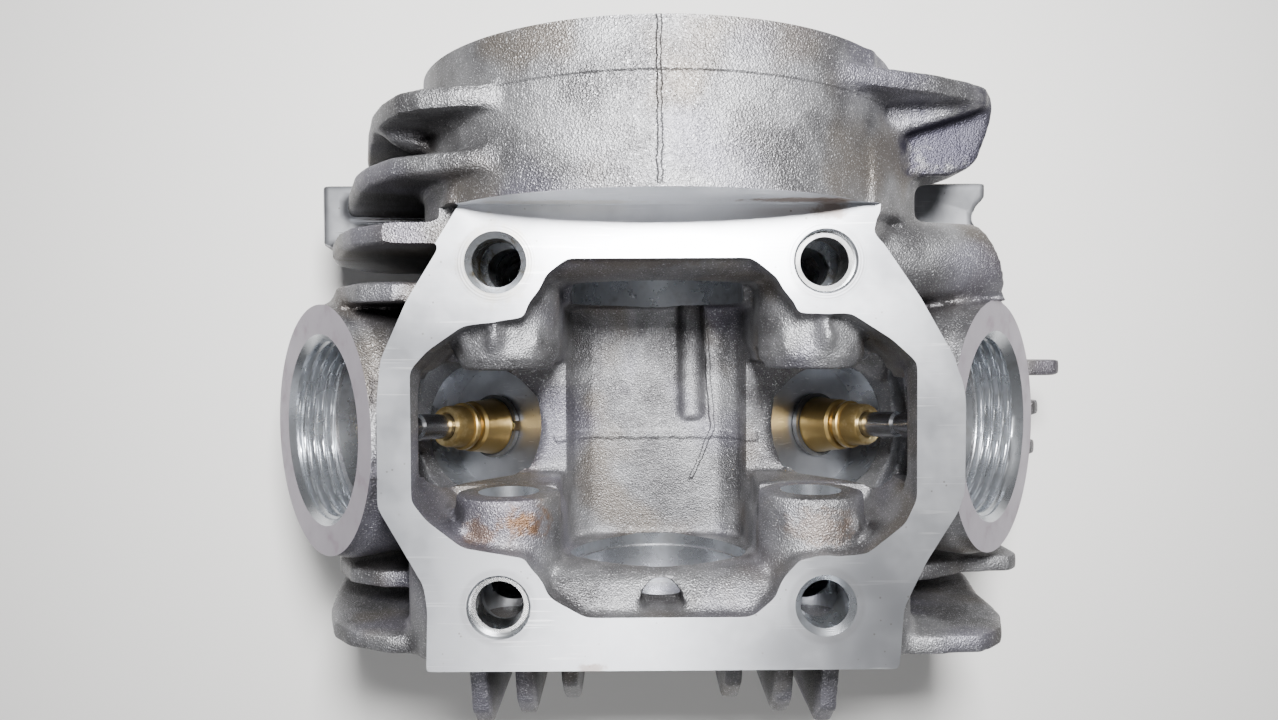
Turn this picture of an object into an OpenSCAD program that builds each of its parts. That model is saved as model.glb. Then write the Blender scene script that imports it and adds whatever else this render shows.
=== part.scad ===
// Single-overhead-camshaft cylinder head for a small horizontal single.
// Z runs along the cylinder, from the barrel joint at z = 0 up to the cover joint.
// Y runs along the camshaft, with the sprocket drum at +Y and the spark plug at -Y.
// X runs from the intake side at -X to the exhaust side at +X.

/* [Joint faces and studs] */
// Height from the barrel joint to the cover joint
head_h = 86; // [84:1:90]
// Stud spacing across the head
stud_x = 60; // [58:0.5:62]
// Stud spacing along the camshaft
stud_y = 63; // [62:0.5:64]
// Diameter of the stud holes
stud_hole_d = 9; // [8.5:0.1:9.4]
// Outside diameter of the locating sleeves in the cover joint
sleeve_d = 11; // [10.8:0.1:12]
// Height of the locating sleeves
sleeve_h = 6; // [5:0.5:6]

/* [Camshaft and rockers] */
// Depth of the camshaft axis below the cover joint
cam_drop = 30; // [29:0.5:32]
// Diameter of the camshaft bearing bores
cam_bore_d = 37; // [36:0.5:38]
// Depth of the rocker shafts below the cover joint
rocker_drop = 14; // [13:0.5:15]
// Diameter of the rocker shaft bores
rocker_bore_d = 12; // [11:0.5:13]
// Outside diameter of the rocker shaft bosses
rocker_boss_d = 20.6; // [19:0.2:22]

/* [Sprocket drum] */
// Outside diameter of the drum
drum_d = 97.2; // [94:0.2:99]
// Inside diameter of the drum
drum_inner_d = 82; // [78:1:84]
// Y of the open rim of the drum
drum_rim_y = 69; // [66:0.5:72]

/* [Valves] */
// Lean of each valve from the cylinder axis, in degrees
valve_lean = 34; // [33:0.5:35]
// Diameter of the valve stems
stem_d = 5.5; // [5:0.5:6]
// Lean of both valves along the camshaft, in degrees
valve_twist = 5.5; // [4:0.5:6]
// Length of each valve
valve_l = 65; // [64:0.5:66]
// Head diameter of the intake valve
intake_d = 27; // [25:0.5:28]
// Head diameter of the exhaust valve
exhaust_d = 23; // [21:0.5:24]
// Running clearance between stem and guide, on the radius
guide_clearance = 0.05; // [0.03:0.01:0.06]

/* [Valve adjuster ports] */
// Lean of each port from the cylinder axis, in degrees
port_lean = 50; // [49:0.5:51]
// Thread core diameter of each port
port_thread_d = 36.4; // [35:0.1:37]
// Outside diameter of each port rim
port_rim_d = 52; // [50:0.5:53]

/* [Combustion chamber] */
// Diameter of the chamber where it meets the barrel
chamber_d = 57; // [54:0.5:58]
// Height of the chamber roof
chamber_h = 15.6; // [15:0.1:16]
// Core diameter of the spark plug thread
plug_core_d = 9; // [8.9:0.05:9.2]

/* [Gas ports] */
// Diameter of the intake port
intake_port_d = 21; // [19:0.5:22]
// Diameter of the exhaust port
exhaust_port_d = 20; // [18:0.5:21]
// Distance of each port flange from the middle of the head
flange_x = 69; // [67:0.5:71]
// Height of the port axes above the barrel joint
port_z = 17.5; // [17:0.5:19]
// Spacing of the two screws in the exhaust flange
exhaust_screws = 46; // [44:1:46]
// Spacing of the two screws in the intake flange
intake_screws = 48; // [48:1:50]

/* [Fins] */
// Thickness of the fins
fin_t = 3.8; // [3:0.2:4]

/* [Hidden] */
$fn = 64;
over = 1;

cam_z = head_h - cam_drop;
rocker_z = head_h - rocker_drop;
rocker_x = stud_x / 2;
studs = [for (sx = [-1, 1], sy = [-1, 1]) [sx * stud_x / 2, sy * stud_y / 2]];

// Valve axis: it passes through the chamber's sphere centre and leans outwards.
base_r = chamber_d / 2;
dome_r = (base_r * base_r + chamber_h * chamber_h) / (2 * chamber_h);
dome_z = chamber_h - dome_r;
seat_dist = dome_r;
tip_dist = seat_dist + valve_l;
pocket_dist = tip_dist - 31;
pocket_r = 14.3;
stem_r = stem_d / 2;
guide_r = 5.5;
guide_bottom = pocket_dist - 22;
guide_top = pocket_dist + 17.5;
insert_depth = 6;

// The valve axes meet the barrel joint a little to the plug side of the middle.
valve_y = -6.7;
port_x = 70.2;
port_y = -1;
port_centre_z = head_h - 22;
thread_len = 8;
flange_screws = max(intake_screws, exhaust_screws);

// Outline of the cover joint face, clockwise from the top left.
face_outline = [[-35.5, 41.8], [33, 41.8], [40.5, 34.5], [47.2, 24.7], [53.6, 13.5],
                [54.6, 5], [54.4, -14], [48.4, -23.5], [44.3, -32], [43.5, -43.3],
                [-43.3, -43.3], [-43, -32], [-43.6, -27.5], [-51.9, -13], [-51.8, 6.3],
                [-51, 14], [-46.2, 24.6]];
// Outline of the valve gear bay inside that face, before the stud pillars.
bay_outline = [[-17, 32.2], [16.5, 32.2], [23, 27], [25, 22], [34.5, 22], [42, 17.2],
               [46.6, 13], [46.6, -12], [44.5, -16.5], [37.5, -22], [25, -23], [23, -28],
               [16.5, -33.5], [-14, -33.5], [-22, -29], [-25, -22.5], [-36.5, -20.5],
               [-43, -15.5], [-45.7, -12], [-45.7, 12], [-42.5, 15.5], [-36, 20],
               [-25, 21.5], [-22.5, 28]];
pillar_r = 9.3;
lower_half_x = 50;

// Places something on a valve axis, with +Z along the stem and side -1 for intake.
module on_valve(side) {
    translate([0, valve_y, 0]) rotate([-valve_twist, 0, 0]) translate([0, 0, dome_z])
        rotate([0, side * valve_lean, 0]) children();
}

// Places something on an adjuster port axis, with +Z pointing out of the rim.
module on_port(side) {
    translate([side * port_x, port_y, port_centre_z]) rotate([0, side * port_lean, 0])
        children();
}

// A cylinder along Y from y0 to y1.
module along_y(x, z, r, y0, y1) {
    translate([x, y0, z]) rotate([-90, 0, 0]) cylinder(r = r, h = y1 - y0);
}

// A cylinder along X from x0 to x1.
module along_x(y, z, r, x0, x1) {
    translate([x0, y, z]) rotate([0, 90, 0]) cylinder(r = r, h = x1 - x0);
}

// A fin standing across Y, from its outline in X and Z.
module side_fin(y, outline) {
    translate([0, y + fin_t / 2, 0]) rotate([90, 0, 0])
        linear_extrude(fin_t) polygon(outline);
}

// A fin standing across X on the spark plug side.
module plug_fin(x, reach) {
    translate([x - fin_t / 2, 0, 0]) rotate([90, 0, 90]) linear_extrude(fin_t)
        polygon([[-40, 6], [-reach + 4, 8], [-reach, 14], [-reach, head_h - 20],
                 [-reach + 5, head_h - 14], [-40, head_h - 9]]);
}

module drum_fins() {
    side_fin(58.7, [[-24, 92], [-28, 96.4], [-34, 96.6], [-41.6, 94.6], [-46.2, 91.7], [-50.7, 85.4],
                    [-54.3, 78.5], [-59.1, 65.4], [-66, 44], [-68, 30], [-67, 14], [-62, 9],
                    [-24, 9]]);
    side_fin(48.4, [[-24, 90], [-28, 95.8], [-32, 95], [-38.6, 92.7], [-48.7, 87.8], [-55.5, 80],
                    [-59.4, 73.2], [-67.4, 53], [-73, 36], [-75, 20], [-74, 12], [-68, 8],
                    [-24, 8]]);
    side_fin(37.4, [[-30, 86], [-38.2, 88.3], [-48.8, 84.5], [-59.4, 76.2], [-65, 66.9],
                    [-72.6, 48.9], [-77, 34], [-77, 14], [-71, 7], [-24, 7]]);
    side_fin(26.7, [[-36, 76], [-50, 81], [-58, 78], [-66, 66], [-72, 50], [-77, 34],
                    [-77, 12], [-70, 6], [-24, 6]]);
}

module lower_fins() {
    side_fin(-41.4, [[-30, 78], [-52.4, 77.5], [-62.2, 73], [-66.7, 67.7], [-70.3, 59],
                     [-73.6, 46], [-76, 34], [-76, 12], [-71, 6], [-30, 6]]);
    side_fin(-31.8, [[-30, 66], [-57, 66], [-65, 62], [-70, 54], [-75, 40], [-77, 30],
                     [-77, 12], [-72, 5], [-30, 5]]);
    side_fin(-41.4, [[30, 79], [52, 79.5], [62, 78.5], [67.5, 74], [71, 65], [72, 50],
                     [75, 36], [75, 12], [71, 6], [30, 6]]);
    side_fin(-31.8, [[30, 66], [57, 63], [66, 57.5], [77, 56], [79.5, 53.5], [79.5, 48],
                     [77, 34], [77, 12], [72, 5], [30, 5]]);
    for (s = [-1, 1]) {
        side_fin(18.6, [[s * 40, 40], [s * 60, 38], [s * 63, 34], [s * 64, 12], [s * 60, 5],
                        [s * 40, 5]]);
        side_fin(-20.8, [[s * 40, 46], [s * 62, 42], [s * 65, 34], [s * 65, 12], [s * 60, 5],
                         [s * 40, 5]]);
    }
    for (f = [[10.2, 97.5], [0.6, 92.5], [-8.8, 91.6]])
        side_fin(f[0], [[56, 30], [60, 41], [f[1] - 10, 39.5], [f[1] - 2, 38.4], [f[1], 36],
                        [f[1] - 1.5, 32.5], [f[1] - 12, 29], [70, 28]]);
    for (f = [[-36, 62], [-27, 60], [-18, 57], [14.5, 57], [24.5, 60], [33.5, 62]])
        plug_fin(f[0], f[1]);
}

// Lug at each side of the chain tunnel, tapped from below for a 6 mm barrel stud.
module tunnel_lug(side) {
    translate([side > 0 ? 40 : -78.2, 39.3, 0]) cube([side > 0 ? 37.6 : 38.2, 14.6, 40]);
}

// Engine ear beside the drum: a level plate, a rib along its far edge and a gusset.
module drum_ear() {
    plate = [[30, 48], [49, 48.9], [57, 49.2], [60.8, 50.6], [62.4, 52.2], [64.6, 58.3],
             [65.5, 62.3], [64.4, 64.5], [30, 64.5]];
    translate([0, 0, head_h - 24]) linear_extrude(12) polygon(plate);
    translate([0, 65, 0]) rotate([90, 0, 0]) linear_extrude(3.6)
        polygon([[22, 90], [29.6, 94.4], [49.8, 86.5], [57.6, 82], [62, 78.5], [65.2, 73],
                 [65.2, 62], [22, 62]]);
    translate([0, 0, head_h - 24]) linear_extrude(17)
        polygon([[30, 54.6], [44.5, 55.8], [60.5, 60.7], [44.5, 60], [30, 60]]);
}

// Wall that carries the drum out to the exhaust side, over the chain tunnel.
module drum_flank() {
    translate([0, 57, 0]) rotate([90, 0, 0]) linear_extrude(17)
        polygon([[20, 98], [38, 86.3], [46, 77.5], [51.5, 69], [54.4, 60], [55, 50], [54, 30],
                 [50, 14], [30, 10], [20, 10]]);
    translate([0, 40.2, 0]) rotate([90, 0, 0]) linear_extrude(4)
        polygon([[20, 90], [36, 84], [44, 75], [49, 62], [50, 50], [49, 30], [45, 14], [20, 10]]);
}

// Cast tube that runs down from the cover joint between the drum and the exhaust port.
module exhaust_tube() {
    difference() {
        union() {
            translate([34, 33, 74]) rotate([0, 110, 0]) cylinder(r = 8, h = 50);
            translate([0, 40.7, 0]) rotate([90, 0, 0]) linear_extrude(15.4)
                polygon([[34, 74.4], [76, 59.1], [76, 8], [34, 8]]);
        }
        translate([66.4, 38.7, -over]) rotate([0, 0, 22.5]) translate([0, -40, 0]) cube([40, 60, 100]);
    }
}

// Rounded shoulders outside the two studs nearest the plug.
module plug_side_shoulders() {
    for (s = [-1, 1])
        translate([0, -24, 0]) rotate([90, 0, 0]) linear_extrude(19)
            polygon([[s * 38, 84], [s * 44, 82.4], [s * 48, 78], [s * 50.6, 70], [s * 50.8, 40],
                     [s * 50.8, 0], [s * 38, 0]]);
}

module outer_mass() {
    linear_extrude(head_h) polygon(face_outline);
    // Wider lower half around the gas ports
    translate([-lower_half_x, -43.3, 0]) cube([2 * lower_half_x, 82, 40]);
    for (s = [-1, 1])
        translate([0, -22, 0]) rotate([90, 0, 0]) linear_extrude(21.3)
            polygon([[s * 30, 30], [s * 49.6, 30], [s * 49.6, 62], [s * 46, 80], [s * 30, 80]]);
    along_y(0, cam_z, drum_d / 2, 36, drum_rim_y);
    translate([-33, 36, 0]) cube([66, 29, cam_z]);
    exhaust_tube();
    drum_flank();
    plug_side_shoulders();
    for (s = [-1, 1]) {
        on_port(s) translate([0, 0, -4]) cylinder(d = port_rim_d, h = 4);
        on_port(s) translate([0, 0, -34]) cylinder(d = port_rim_d + 2, h = 31);
        tunnel_lug(s);
        // Port tubes and flanges
        along_x(0, port_z, 16, s > 0 ? 40 : -flange_x, s > 0 ? flange_x : -40);
        translate([s > 0 ? flange_x - 10 : -flange_x, 0, port_z])
            rotate([0, 90, 0]) linear_extrude(10) flange_outline();
    }
    drum_fins();
    lower_fins();
    drum_ear();
}

module flange_outline() {
    circle(r = 16.5);
    square([17, flange_screws], center = true);
    for (s = [-1, 1]) translate([0, s * flange_screws / 2]) circle(r = 8.5);
}

// The open bay for the camshaft and rockers.
module bay() {
    translate([0, 0, head_h - 26]) linear_extrude(26 + over) difference() {
        polygon(bay_outline);
        for (p = studs) translate(p) circle(r = pillar_r);
    }
    translate([-46, -13, head_h - 42]) cube([92, 25.5, 30]);
    // Undercut side walls, which clear the valve tips under the joint face
    translate([-48.6, -12, head_h - 40]) cube([97.2, 23.2, 31]);
    translate([-51, -9, head_h - 39]) cube([102, 17, 32]);
    // Trough under the camshaft, with sloping sides
    translate([0, 25.3, 0]) rotate([90, 0, 0]) linear_extrude(54.8)
        polygon([[-21, 70], [-21.5, 47], [-19.5, 40], [-15, 36.6], [15, 36.6], [19.5, 40],
                 [21.5, 47], [21, 70]]);
    for (s = [-1, 1]) {
        on_valve(s) translate([0, 0, pocket_dist]) cylinder(r = pocket_r, h = 27);
        on_port(s) translate([0, 0, -26]) cylinder(r = 16.4, h = 20);
    }
    // Oil drain on the exhaust side
    translate([49, 10, 40]) cylinder(r = 5.3, h = 24);
}

// Bosses that carry the rocker shafts, and the shoulders over the two bearings.
module bay_bosses() {
    for (s = [-1, 1]) {
        along_y(s * rocker_x, rocker_z, rocker_boss_d / 2, 13.6, 31.5);
        along_y(s * rocker_x, rocker_z, rocker_boss_d / 2 - 1.2, 11.6, 14);
        along_y(s * rocker_x, rocker_z, rocker_boss_d / 2, -31.5, -12.6);
        translate([s > 0 ? 20.3 : -39.3, 15.6, 40]) cube([19, 16, rocker_z - 40]);
        translate([s > 0 ? 20.3 : -39.3, -31.5, 40]) cube([19, 12, rocker_z - 40]);
    }
    translate([-23.2, 0, 0]) rotate([90, 0, 90]) linear_extrude(46)
        polygon([[36, 56], [28.9, 56], [28.8, 76], [29.4, 80], [31, 83.6], [33.4, 86], [36, 86]]);
    difference() {
        translate([-19.6, 0, 0]) rotate([90, 0, 90]) linear_extrude(39.4)
            polygon([[-36, 56], [-28.6, 56], [-27, 68], [-26.6, 73], [-26.8, 76.4], [-28.4, 79.6],
                     [-31.6, 82.6], [-36, 84]]);
        translate([0, -32.6, 60]) cylinder(r = 4.2, h = 30);
    }
}

module stud_holes() {
    for (p = studs) {
        translate([p[0], p[1], -over]) cylinder(d = stud_hole_d, h = head_h + 2 * over);
        translate([p[0], p[1], head_h - 1]) cylinder(d1 = stud_hole_d, d2 = stud_hole_d + 2.4, h = 1.2);
    }
    // Locating sleeves sit in two opposite corners
    for (s = [-1, 1])
        translate([s * stud_x / 2, s * stud_y / 2, head_h - 1.5 - sleeve_h])
            cylinder(d = sleeve_d, h = sleeve_h + 2.5);
}

module cam_and_rocker_bores() {
    // Drum chamber with the register for its cover
    along_y(0, cam_z, drum_inner_d / 2, 43, drum_rim_y + over);
    along_y(0, cam_z, drum_inner_d / 2 + 2, drum_rim_y - 5, drum_rim_y + over);
    // Sprocket end bearing, and the blind bearing at the other end
    along_y(0, cam_z, cam_bore_d / 2, 24, 44);
    along_y(0, cam_z, cam_bore_d / 2, -40.8, -24);
    along_y(0, cam_z, cam_bore_d / 2 + 0.9, -32, -29);
    for (s = [-1, 1]) along_y(s * rocker_x, rocker_z, rocker_bore_d / 2, -37.5, 44);
    // Oil gutter along the bay floor
    along_y(8.6, cam_z - 20, 3, -2, 30);
    // Chain tunnel down to the barrel
    translate([-21, 46, -over]) cube([42, 15, cam_z]);
}

module valve_cuts() {
    intersection() {
        translate([0, 0, dome_z]) sphere(r = dome_r);
        translate([0, 0, -over]) cylinder(d = chamber_d + 20, h = chamber_h + 10);
    }
    for (s = [-1, 1]) {
        head_d = s < 0 ? intake_d : exhaust_d;
        bore_d = s < 0 ? intake_port_d : exhaust_port_d;
        screws = s < 0 ? intake_screws : exhaust_screws;
        on_valve(s) {
            // Seat ring pocket, throat and guide bore
            translate([0, 0, seat_dist - 8]) cylinder(d = head_d + 4, h = 8 + insert_depth);
            translate([0, 0, seat_dist]) cylinder(d = head_d - 5, h = 17);
            cylinder(r = guide_r, h = pocket_dist + over);
        }
        along_x(0, port_z, bore_d / 2, s > 0 ? 24 : -flange_x - over, s > 0 ? flange_x + over : -24);
        for (t = [-1, 1])
            along_x(t * screws / 2, port_z, 2.5, s > 0 ? flange_x - 14 : -flange_x - over,
                    s > 0 ? flange_x + over : -flange_x + 14);
        on_port(s) {
            translate([0, 0, -thread_len - 2]) cylinder(d = port_thread_d, h = thread_len + 2 + over);
            translate([0, 0, -1.8]) cylinder(d1 = port_thread_d, d2 = port_thread_d + 3.4, h = 1.9);
        }
    }
}

// Spark plug hole, leaning out to -Y, with its recess and sealing face.
module plug_cut() {
    translate([-1.5, -12, 8]) rotate([65, 0, 0]) {
        translate([0, 0, -10]) cylinder(d = plug_core_d, h = 36);
        translate([0, 0, 18]) cylinder(r = 10.5, h = 50);
    }
}

module lug_cuts() {
    for (s = [-1, 1]) {
        translate([s * 69, 46.5, -over]) cylinder(d = 5, h = 18 + over);
    }
    translate([79.4, 45.8, -over]) cylinder(r = 4.4, h = 42);
}

module head_casting() {
    color([0.62, 0.61, 0.6]) difference() {
        union() {
            difference() {
                outer_mass();
                bay();
            }
            bay_bosses();
        }
        stud_holes();
        cam_and_rocker_bores();
        valve_cuts();
        plug_cut();
        lug_cuts();
        // Cover joint mill cut, which leaves a wall on the drum
        translate([-60, -70, head_h]) cube([120, 111.8, 40]);
        // Flange faces, milled clear of the fins beside them
        for (x = [-flange_x - 30, flange_x])
            translate([x, -34.5, -over]) cube([30, 69, 32]);
    }
}

// Poppet valve, drawn from the seat plane up to the tip.
module valve(side, head_d) {
    r = head_d / 2;
    on_valve(side) translate([0, 0, seat_dist]) rotate_extrude() polygon([
        [0, 0], [r, 0], [r, 1.2], [r - 1.9, 3.1], [r * 0.62, 4.6], [stem_r + 1.8, 7.4],
        [stem_r, 11], [stem_r, valve_l - 6.6], [stem_r - 0.6, valve_l - 6.1],
        [stem_r - 0.6, valve_l - 4.9], [stem_r, valve_l - 4.4], [stem_r, valve_l - 0.4],
        [stem_r - 0.4, valve_l], [0, valve_l]]);
}

module intake_valve() {
    color([0.35, 0.36, 0.38]) valve(-1, intake_d);
}

module exhaust_valve() {
    color([0.33, 0.32, 0.34]) valve(1, exhaust_d);
}

// Bronze guide with a clip groove at the pocket floor and a seal groove near its end.
module valve_guide(side) {
    bore = stem_r + guide_clearance;
    p = pocket_dist;
    color([0.62, 0.5, 0.3]) on_valve(side) rotate_extrude() polygon([
        [bore, guide_bottom], [4.4, guide_bottom], [guide_r, guide_bottom + 2],
        [guide_r, p - 4.2], [guide_r - 0.9, p - 4.2], [guide_r - 0.9, p - 2.4],
        [guide_r, p - 2.4], [guide_r, p], [guide_r, p + 0.2], [guide_r - 0.5, p + 0.2],
        [guide_r - 0.5, p + 1.4], [6.4, p + 1.4], [6.6, p + 1.8], [6.6, p + 9], [6, p + 9.6],
        [5, p + 9.8], [5, p + 11.2], [5.4, p + 11.4], [5.4, p + 12.6], [4.8, p + 13],
        [4.8, guide_top - 0.6], [4.2, guide_top], [bore, guide_top]]);
}

module intake_valve_guide() {
    valve_guide(-1);
}

module exhaust_valve_guide() {
    valve_guide(1);
}

// Spring clip that stops the guide on the pocket floor.
module guide_clip(side) {
    color([0.3, 0.3, 0.32]) on_valve(side) translate([0, 0, pocket_dist + 0.2])
        difference() {
            cylinder(r = 7.4, h = 1.2);
            translate([0, 0, -over]) cylinder(r = guide_r - 0.5, h = 4);
            translate([0, -1.2, -over]) cube([10, 2.4, 4]);
        }
}

module intake_guide_clip() {
    guide_clip(-1);
}

module exhaust_guide_clip() {
    guide_clip(1);
}

// Rubber ring in the guide's groove, squashed to the bore.
module guide_o_ring(side) {
    color([0.08, 0.08, 0.08]) on_valve(side) translate([0, 0, pocket_dist - 4.2])
        difference() {
            cylinder(r = guide_r, h = 1.8);
            translate([0, 0, -over]) cylinder(r = guide_r - 0.9, h = 4);
        }
}

module intake_guide_o_ring() {
    guide_o_ring(-1);
}

module exhaust_guide_o_ring() {
    guide_o_ring(1);
}

// Pressed-in seat ring with a 45 degree face for the valve.
module seat_ring(side, head_d) {
    r = head_d / 2;
    gap = 0.04;
    color([0.5, 0.47, 0.42]) on_valve(side) translate([0, 0, seat_dist]) rotate_extrude() polygon([
        [r + 2, 0.6], [r + 2, insert_depth], [r - 2.5, insert_depth], [r - 2.5, 3.7 + gap],
        [r - 1.9, 3.1 + gap], [r + gap, 1.2 + gap], [r + 0.6, 0.6]]);
}

module intake_seat_ring() {
    seat_ring(-1, intake_d);
}

module exhaust_seat_ring() {
    seat_ring(1, exhaust_d);
}

module cover_sleeves() {
    color([0.75, 0.76, 0.78]) for (s = [-1, 1])
        translate([s * stud_x / 2, s * stud_y / 2, head_h - 1.5 - sleeve_h]) difference() {
            cylinder(d = sleeve_d, h = sleeve_h);
            translate([0, 0, -over]) cylinder(d = stud_hole_d, h = sleeve_h + 2 * over);
        }
}

head_casting();
intake_valve();
exhaust_valve();
intake_valve_guide();
exhaust_valve_guide();
intake_guide_clip();
exhaust_guide_clip();
intake_guide_o_ring();
exhaust_guide_o_ring();
intake_seat_ring();
exhaust_seat_ring();
cover_sleeves();
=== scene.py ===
"""Looks of a bare cylinder head: its cast shell, machined faces, valve gear parts and studio."""

import logging
import math
from dataclasses import dataclass, field
from enum import Enum

import bmesh
import bpy
import numpy as np
from mathutils import Matrix
from mathutils.bvhtree import BVHTree


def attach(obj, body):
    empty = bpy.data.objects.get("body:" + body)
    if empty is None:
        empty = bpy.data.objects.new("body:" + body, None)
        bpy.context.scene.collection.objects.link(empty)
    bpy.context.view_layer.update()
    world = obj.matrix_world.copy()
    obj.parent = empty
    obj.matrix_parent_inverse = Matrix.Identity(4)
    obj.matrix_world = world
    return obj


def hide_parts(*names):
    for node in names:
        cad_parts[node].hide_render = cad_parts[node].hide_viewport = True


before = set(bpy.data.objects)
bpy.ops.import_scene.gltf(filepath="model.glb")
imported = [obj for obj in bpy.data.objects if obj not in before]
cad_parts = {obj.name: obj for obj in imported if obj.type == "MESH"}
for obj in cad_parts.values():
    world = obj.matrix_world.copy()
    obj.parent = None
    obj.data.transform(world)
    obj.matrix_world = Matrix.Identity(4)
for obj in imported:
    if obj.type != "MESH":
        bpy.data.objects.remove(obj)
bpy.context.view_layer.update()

log = logging.getLogger("cylinder_head")
MM = 0.001
Triple = tuple[float, float, float]


class Surface(Enum):
    """The kinds of surface on the casting, in the order of its material slots."""

    CAST = 0
    MILLED = 1
    BORED = 2
    RIM = 3


# ---------------------------------------------------------------------------
# Mesh helpers. All sizes are in millimetres until a mesh is made.
# ---------------------------------------------------------------------------


def unit(vector: Triple) -> np.ndarray:
    """Returns the vector at length 1."""
    v = np.asarray(vector, float)
    return v / np.linalg.norm(v)


def cross_frame(axis: np.ndarray) -> tuple[np.ndarray, np.ndarray]:
    """Two unit vectors square to an axis.

    Args:
        axis: unit direction.

    Returns:
        Vectors e and f, so that e, f and the axis are a right-handed set.
    """
    helper = np.array([0.0, 1.0, 0.0]) if abs(axis[1]) < 0.9 else np.array([1.0, 0.0, 0.0])
    e = unit(np.cross(helper, axis))
    return e, np.cross(axis, e)


def mesh_object(name: str, points_mm: np.ndarray, faces: list) -> bpy.types.Object:
    """Makes an object at the origin from points in millimetres.

    Args:
        name: object name.
        points_mm: array of shape (n, 3).
        faces: lists of point numbers.

    Returns:
        The linked object.
    """
    mesh = bpy.data.meshes.new(name)
    mesh.from_pydata((np.asarray(points_mm, float) * MM).tolist(), [], faces)
    mesh.validate()
    mesh.update()
    obj = bpy.data.objects.new(name, mesh)
    bpy.context.scene.collection.objects.link(obj)
    return obj


def grid_faces(rows: int, columns: int, offset: int = 0) -> list:
    """Quads of a grid whose columns close on themselves, wound so that they face outwards.

    Args:
        rows: rings along the path.
        columns: points round each ring.
        offset: number of the first point.

    Returns:
        List of four-point faces.
    """
    i, j = np.meshgrid(np.arange(rows - 1), np.arange(columns), indexing="ij")
    k = (j + 1) % columns
    quads = np.stack([i * columns + j, i * columns + k, (i + 1) * columns + k,
                      (i + 1) * columns + j], axis=-1)
    return (quads.reshape(-1, 4) + offset).tolist()


def turned_solid(name: str, origin: np.ndarray, axis: np.ndarray, profile: list,
                 segments: int = 96) -> bpy.types.Object:
    """A closed solid turned about an axis.

    A point is origin + t * axis + r * (cos(a) * e + sin(a) * f), where (t, r) runs along the
    profile and a goes once round. Flat discs close both ends.

    Args:
        name: object name.
        origin: point on the axis, in millimetres.
        axis: unit direction.
        profile: (t, r) pairs with t rising.
        segments: points round.

    Returns:
        The object.
    """
    e, f = cross_frame(axis)
    t, r = np.asarray(profile, float).T
    a = np.arange(segments) * 2 * np.pi / segments
    ring = np.cos(a)[:, None] * e + np.sin(a)[:, None] * f
    points = origin + t[:, None, None] * axis + r[:, None, None] * ring[None]
    faces = grid_faces(len(t), segments)
    last = (len(t) - 1) * segments
    faces.append(list(range(segments))[::-1])
    faces.append(list(range(last, last + segments)))
    return mesh_object(name, points.reshape(-1, 3), faces)


def turned_ring(name: str, origin: np.ndarray, axis: np.ndarray, profile: list,
                segments: int = 72) -> bpy.types.Object:
    """A ring turned about an axis from a closed profile that doesn't reach the axis.

    A point is origin + t * axis + r * (cos(a) * e + sin(a) * f), where (t, r) goes round the
    profile anticlockwise with t across and r up, and a goes once round.

    Args:
        name: object name.
        origin: point on the axis, in millimetres.
        axis: unit direction.
        profile: (t, r) corners, with the bore last.
        segments: points round.

    Returns:
        The closed ring.
    """
    e, f = cross_frame(axis)
    t, r = np.asarray(profile + profile[:1], float).T
    a = np.arange(segments) * 2 * np.pi / segments
    ring = np.cos(a)[:, None] * e + np.sin(a)[:, None] * f
    points = origin + t[:, None, None] * axis + r[:, None, None] * ring[None]
    faces = np.asarray(grid_faces(len(t), segments))
    faces = np.mod(faces, (len(t) - 1) * segments)
    return mesh_object(name, points[:-1].reshape(-1, 3), faces.tolist())


def block(name: str, low: tuple, high: tuple) -> bpy.types.Object:
    """A rectangular block between two corners, in millimetres."""
    (x0, y0, z0), (x1, y1, z1) = low, high
    points = [(x0, y0, z0), (x1, y0, z0), (x1, y1, z0), (x0, y1, z0),
              (x0, y0, z1), (x1, y0, z1), (x1, y1, z1), (x0, y1, z1)]
    faces = [[0, 3, 2, 1], [4, 5, 6, 7], [0, 1, 5, 4], [1, 2, 6, 5], [2, 3, 7, 6], [3, 0, 4, 7]]
    return mesh_object(name, np.array(points), faces)


def swept_solid(name: str, outline: np.ndarray, direction: np.ndarray) -> bpy.types.Object:
    """A flat outline carried along a straight line.

    Args:
        name: object name.
        outline: (n, 3) corners, wound so that the direction comes out of the face.
        direction: how far it is carried, in millimetres.

    Returns:
        The closed prism.
    """
    n = len(outline)
    points = np.concatenate([outline, outline + direction])
    faces = [[i, (i + 1) % n, n + (i + 1) % n, n + i] for i in range(n)]
    faces += [list(range(n))[::-1], list(range(n, 2 * n))]
    return mesh_object(name, points, faces)


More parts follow.
